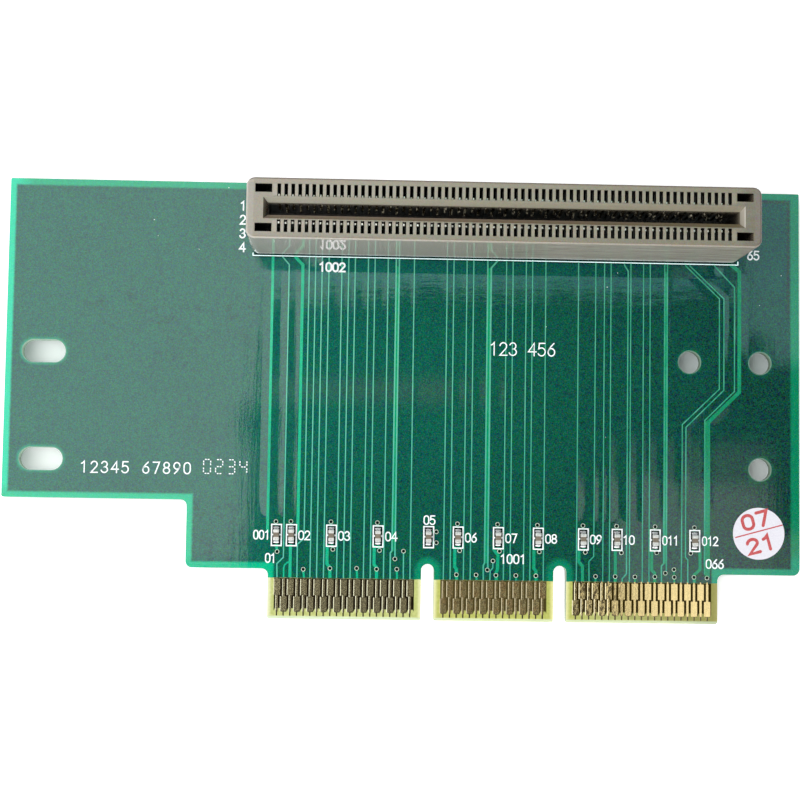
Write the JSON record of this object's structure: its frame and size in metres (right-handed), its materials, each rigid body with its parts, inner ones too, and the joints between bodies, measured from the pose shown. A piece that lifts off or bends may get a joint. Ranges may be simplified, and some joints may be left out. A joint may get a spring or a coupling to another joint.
{
  "type": "agp riser card",
  "caption": "Flat riser card: green circuit board with a notched gold edge tab, an upright card-edge connector along the far edge, chip capacitors and fixing holes.",
  "frame": {"origin": "under the middle of the board outline, on the plane that the rear solder joints stand on", "axes": "+X along the card's long side, with the edge contacts' first position at the -X end of the tab; +Y from the edge tab towards the connector; +Z out of the component side, the way a card leaves the connector"},
  "size_m": [0.1206, 0.066, 0.018],
  "materials": {
    "board": "glossy green solder mask over glass-epoxy laminate, bare pale edge tab",
    "housing": "satin moulded resin, grey-tan",
    "contact": "stamped spring alloy, plated",
    "solder": "bright solder",
    "gold": "thin gold plating, satin",
    "plating": "tin plating",
    "ceramic": "fired ceramic, satin",
    "sticker": "white paper with red print"
  },
  "bodies": {
    "root": {"pcb": "board", "connector_base": "housing", "connector_wall_a": "housing", "connector_wall_b": "housing", "connector_end_left": "housing", "connector_end_right": "housing", "contacts_row_a_upper": "contact", "contacts_row_a_lower": "contact", "contacts_row_b_upper": "contact", "contacts_row_b_lower": "contact", "solder_joints_row_a_outer": "solder", "solder_joints_row_a_inner": "solder", "solder_joints_row_b_outer": "solder", "solder_joints_row_b_inner": "solder", "edge_contacts_front": "gold", "edge_contacts_rear": "gold", "via_barrels": "plating", "capacitor_solder": "solder", "inspection_sticker": "sticker", "capacitor_01_body": "ceramic", "capacitor_01_ends": "plating", "capacitor_02_body": "ceramic", "capacitor_02_ends": "plating", "capacitor_03_body": "ceramic", "capacitor_03_ends": "plating", "capacitor_04_body": "ceramic", "capacitor_04_ends": "plating", "capacitor_05_body": "ceramic", "capacitor_05_ends": "plating", "capacitor_06_body": "ceramic", "capacitor_06_ends": "plating", "capacitor_07_body": "ceramic", "capacitor_07_ends": "plating", "capacitor_08_body": "ceramic", "capacitor_08_ends": "plating", "capacitor_09_body": "ceramic", "capacitor_09_ends": "plating", "capacitor_10_body": "ceramic", "capacitor_10_ends": "plating", "capacitor_11_body": "ceramic", "capacitor_11_ends": "plating", "capacitor_12_body": "ceramic", "capacitor_12_ends": "plating"}
  },
  "joints": []
}
